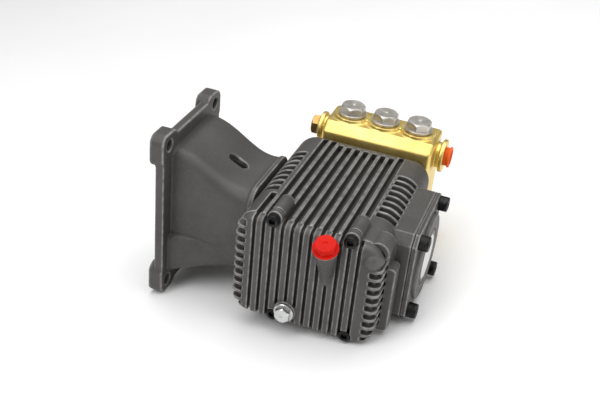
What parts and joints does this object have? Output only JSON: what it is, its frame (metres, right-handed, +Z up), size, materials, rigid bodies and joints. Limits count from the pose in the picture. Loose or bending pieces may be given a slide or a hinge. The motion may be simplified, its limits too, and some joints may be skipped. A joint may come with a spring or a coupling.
{
  "type": "pressure washer pump",
  "caption": "Plunger pump for a pressure washer: bell housing flange, dark cast crankcase with fins, bearing cover and bright brass manifold with hex valve caps.",
  "frame": {"origin": "centre of the engine-side face of the bell housing flange, on the crankshaft axis", "axes": "+X along the crankshaft away from the engine, +Y from the finned rear cover to the brass manifold, +Z up"},
  "size_m": [0.2395, 0.2406, 0.16],
  "materials": {
    "cast_aluminium": "satin",
    "machined_aluminium": "satin",
    "brass": "satin",
    "nickel_plate": "satin",
    "zinc_plate": "satin",
    "black_oxide_steel": "satin",
    "steel": "polished",
    "rod_aluminium": "satin",
    "hardened_steel": "polished",
    "ceramic": "gloss",
    "stainless_steel": "polished",
    "seal_rubber": "matte",
    "gasket_paper": "matte",
    "red_plastic": "satin",
    "orange_plastic": "satin",
    "label_plate": "matte",
    "valve_plastic": "satin"
  },
  "bodies": {
    "pump_body": {"bell_housing": "cast_aluminium", "bell_housing_screws": "black_oxide_steel", "crankcase": "cast_aluminium", "rear_cover": "cast_aluminium", "rear_cover_gasket": "gasket_paper", "rear_cover_screws": "black_oxide_steel", "drain_plug": "zinc_plate", "bearing_cover_shim": "gasket_paper", "bearing_cover": "machined_aluminium", "bearing_cover_disc": "label_plate", "bearing_cover_screws": "black_oxide_steel", "drive_bearing_outer_race": "steel", "end_bearing_outer_race": "steel", "crankshaft_oil_seal": "seal_rubber", "plunger_oil_seals": "seal_rubber", "packing_retainers": "brass", "plunger_packings": "seal_rubber", "manifold": "brass", "manifold_screws": "black_oxide_steel", "discharge_valve_caps": "nickel_plate", "inlet_valve_caps": "nickel_plate", "gallery_plugs": "nickel_plate", "valve_cartridges": "valve_plastic", "discharge_valve_spring_1": "stainless_steel", "discharge_valve_spring_2": "stainless_steel", "discharge_valve_spring_3": "stainless_steel", "inlet_valve_spring_1": "stainless_steel", "inlet_valve_spring_2": "stainless_steel", "inlet_valve_spring_3": "stainless_steel"},
    "crankshaft": {"crankshaft": "steel", "drive_bearing_inner_race": "steel", "end_bearing_inner_race": "steel"},
    "drive_balls": {"drive_bearing_balls": "steel"},
    "end_balls": {"end_bearing_balls": "steel"},
    "oil_fill_cap": {"oil_fill_cap": "red_plastic"},
    "discharge_port_cap": {"discharge_port_cap": "orange_plastic"},
    "rod_1": {"con_rod_1": "rod_aluminium", "con_rod_cap_1": "rod_aluminium"},
    "pin_1": {"wrist_pin_1": "hardened_steel"},
    "plunger_1": {"crosshead_1": "hardened_steel", "plunger_1": "ceramic", "plunger_screw_1": "stainless_steel"},
    "rod_2": {"con_rod_2": "rod_aluminium", "con_rod_cap_2": "rod_aluminium"},
    "pin_2": {"wrist_pin_2": "hardened_steel"},
    "plunger_2": {"crosshead_2": "hardened_steel", "plunger_2": "ceramic", "plunger_screw_2": "stainless_steel"},
    "rod_3": {"con_rod_3": "rod_aluminium", "con_rod_cap_3": "rod_aluminium"},
    "pin_3": {"wrist_pin_3": "hardened_steel"},
    "plunger_3": {"crosshead_3": "hardened_steel", "plunger_3": "ceramic", "plunger_screw_3": "stainless_steel"},
    "discharge_poppet_1": {"discharge_poppet_1": "stainless_steel"},
    "discharge_poppet_2": {"discharge_poppet_2": "stainless_steel"},
    "discharge_poppet_3": {"discharge_poppet_3": "stainless_steel"},
    "inlet_poppet_1": {"inlet_poppet_1": "stainless_steel"},
    "inlet_poppet_2": {"inlet_poppet_2": "stainless_steel"},
    "inlet_poppet_3": {"inlet_poppet_3": "stainless_steel"}
  },
  "joints": [
    {"name": "crank_spin", "type": "hinge", "parent": "pump_body", "child": "crankshaft", "pos_m": [0, 0, 0], "axis": [1, 0, 0], "continuous": true},
    {"name": "drive_balls_spin", "type": "hinge", "parent": "pump_body", "child": "drive_balls", "pos_m": [0.104, 0, 0], "axis": [1, 0, 0], "continuous": true},
    {"name": "end_balls_spin", "type": "hinge", "parent": "pump_body", "child": "end_balls", "pos_m": [0.2185, 0, 0], "axis": [1, 0, 0], "continuous": true},
    {"name": "rod_1_on_throw", "type": "hinge", "parent": "crankshaft", "child": "rod_1", "pos_m": [0.126, 0, 0.00165], "axis": [1, 0, 0], "continuous": true},
    {"name": "pin_1_in_rod", "type": "hinge", "parent": "rod_1", "child": "pin_1", "pos_m": [0.126, 0.046, 0.00165], "axis": [1, 0, 0], "continuous": true},
    {"name": "plunger_1_on_pin", "type": "hinge", "parent": "pin_1", "child": "plunger_1", "pos_m": [0.126, 0.046, 0], "axis": [1, 0, 0], "continuous": true},
    {"name": "rod_2_on_throw", "type": "hinge", "parent": "crankshaft", "child": "rod_2", "pos_m": [0.158, -0.00143, -0.00082], "axis": [1, 0, 0], "continuous": true},
    {"name": "pin_2_in_rod", "type": "hinge", "parent": "rod_2", "child": "pin_2", "pos_m": [0.158, 0.04457, -0.00082], "axis": [1, 0, 0], "continuous": true},
    {"name": "plunger_2_on_pin", "type": "hinge", "parent": "pin_2", "child": "plunger_2", "pos_m": [0.158, 0.04314, 0], "axis": [1, 0, 0], "continuous": true},
    {"name": "rod_3_on_throw", "type": "hinge", "parent": "crankshaft", "child": "rod_3", "pos_m": [0.19, 0.00143, -0.00082], "axis": [1, 0, 0], "continuous": true},
    {"name": "pin_3_in_rod", "type": "hinge", "parent": "rod_3", "child": "pin_3", "pos_m": [0.19, 0.04743, -0.00082], "axis": [1, 0, 0], "continuous": true},
    {"name": "plunger_3_on_pin", "type": "hinge", "parent": "pin_3", "child": "plunger_3", "pos_m": [0.19, 0.04886, 0], "axis": [1, 0, 0], "continuous": true},
    {"name": "discharge_poppet_1_lift", "type": "slide", "parent": "pump_body", "child": "discharge_poppet_1", "axis": [0, 0, 1], "range_m": [0, 0.002], "stiffness_N_per_m": 400, "springref_m": -0.003, "deforming": ["discharge_valve_spring_1"]},
    {"name": "discharge_poppet_2_lift", "type": "slide", "parent": "pump_body", "child": "discharge_poppet_2", "axis": [0, 0, 1], "range_m": [0, 0.002], "stiffness_N_per_m": 400, "springref_m": -0.003, "deforming": ["discharge_valve_spring_2"]},
    {"name": "discharge_poppet_3_lift", "type": "slide", "parent": "pump_body", "child": "discharge_poppet_3", "axis": [0, 0, 1], "range_m": [0, 0.002], "stiffness_N_per_m": 400, "springref_m": -0.003, "deforming": ["discharge_valve_spring_3"]},
    {"name": "inlet_poppet_1_lift", "type": "slide", "parent": "pump_body", "child": "inlet_poppet_1", "axis": [0, 0, 1], "range_m": [0, 0.002], "stiffness_N_per_m": 400, "springref_m": -0.003, "deforming": ["inlet_valve_spring_1"]},
    {"name": "inlet_poppet_2_lift", "type": "slide", "parent": "pump_body", "child": "inlet_poppet_2", "axis": [0, 0, 1], "range_m": [0, 0.002], "stiffness_N_per_m": 400, "springref_m": -0.003, "deforming": ["inlet_valve_spring_2"]},
    {"name": "inlet_poppet_3_lift", "type": "slide", "parent": "pump_body", "child": "inlet_poppet_3", "axis": [0, 0, 1], "range_m": [0, 0.002], "stiffness_N_per_m": 400, "springref_m": -0.003, "deforming": ["inlet_valve_spring_3"]},
    {"name": "oil_cap_lift", "type": "slide", "parent": "pump_body", "child": "oil_fill_cap", "axis": [0, -0.342, 0.9397], "range_m": [0, 0.03]},
    {"name": "port_cap_pull", "type": "slide", "parent": "pump_body", "child": "discharge_port_cap", "axis": [1, 0, 0], "range_m": [0, 0.02]}
  ],
  "couplings": [
    {"joint": "drive_balls_spin", "follows": "crank_spin", "ratio": 0.3972},
    {"joint": "end_balls_spin", "follows": "crank_spin", "ratio": 0.3967},
    {"joint": "rod_1_on_throw", "follows": "crank_spin", "ratio": -1},
    {"joint": "pin_1_in_rod", "follows": "crank_spin", "ratio": -1},
    {"joint": "plunger_1_on_pin", "follows": "crank_spin", "ratio": 1},
    {"joint": "rod_2_on_throw", "follows": "crank_spin", "ratio": -1},
    {"joint": "pin_2_in_rod", "follows": "crank_spin", "ratio": -1},
    {"joint": "plunger_2_on_pin", "follows": "crank_spin", "ratio": 1},
    {"joint": "rod_3_on_throw", "follows": "crank_spin", "ratio": -1},
    {"joint": "pin_3_in_rod", "follows": "crank_spin", "ratio": -1},
    {"joint": "plunger_3_on_pin", "follows": "crank_spin", "ratio": 1}
  ]
}
